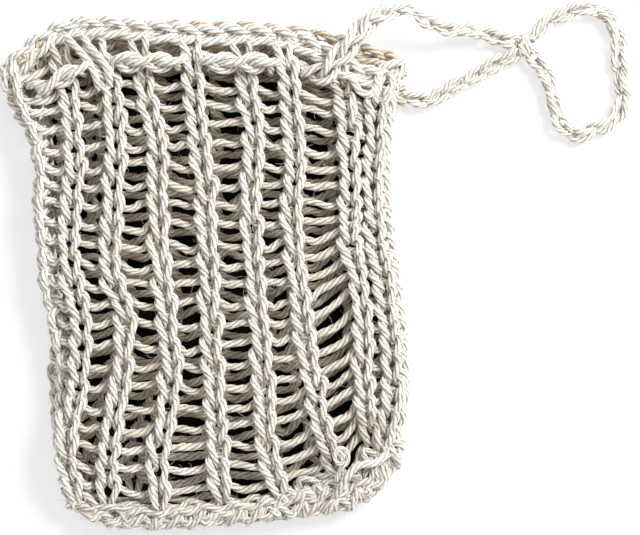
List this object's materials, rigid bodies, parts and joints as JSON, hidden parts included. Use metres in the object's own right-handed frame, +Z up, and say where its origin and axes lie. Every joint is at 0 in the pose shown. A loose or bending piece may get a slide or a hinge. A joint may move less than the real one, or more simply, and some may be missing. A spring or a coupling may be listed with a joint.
{
  "type": "soap saver bag",
  "caption": "Openwork hand-knitted cotton pouch for a bar of soap, lying flat, with a beaded rim, a crocheted drawstring woven round its mouth, a knot and a hanging loop.",
  "frame": {"origin": "on the underside of the back wall, in the middle of the bag, where it rests on a surface", "axes": "+X is to the bag's right as it lies with its front up, +Y runs up the bag to its mouth, and +Z is up from the surface, out of the front wall"},
  "size_m": [0.1754, 0.1446, 0.0178],
  "materials": {
    "pouch_yarn": "undyed twisted cotton, in the shade of the back layer",
    "pouch_yarn_light": "undyed twisted cotton",
    "seam_yarn": "undyed twisted cotton",
    "drawstring_cord": "undyed twisted cotton, crocheted in a chain"
  },
  "bodies": {
    "pouch_back": {"back_wall": "pouch_yarn", "left_fold": "pouch_yarn", "right_fold": "pouch_yarn", "bottom_seam": "seam_yarn", "back_rim": "pouch_yarn", "drawstring_back_run": "drawstring_cord"},
    "pouch_front": {"front_wall": "pouch_yarn_light", "front_rim": "pouch_yarn_light", "drawstring_front_run": "drawstring_cord", "yarn_tail": "seam_yarn"},
    "drawstring_tail": {"front_strand": "drawstring_cord", "side_strand": "drawstring_cord", "drawstring_knot": "drawstring_cord", "hanging_loop": "drawstring_cord"}
  },
  "joints": [
    {"name": "mouth_open", "type": "hinge", "parent": "pouch_back", "child": "pouch_front", "pos_m": [0, -0.0631, 0.0095], "axis": [1, 0, 0], "range_deg": [0, 8]},
    {"name": "drawstring_pull", "type": "slide", "parent": "pouch_back", "child": "drawstring_tail", "axis": [1, 0, 0], "range_m": [0, 0.008]}
  ]
}
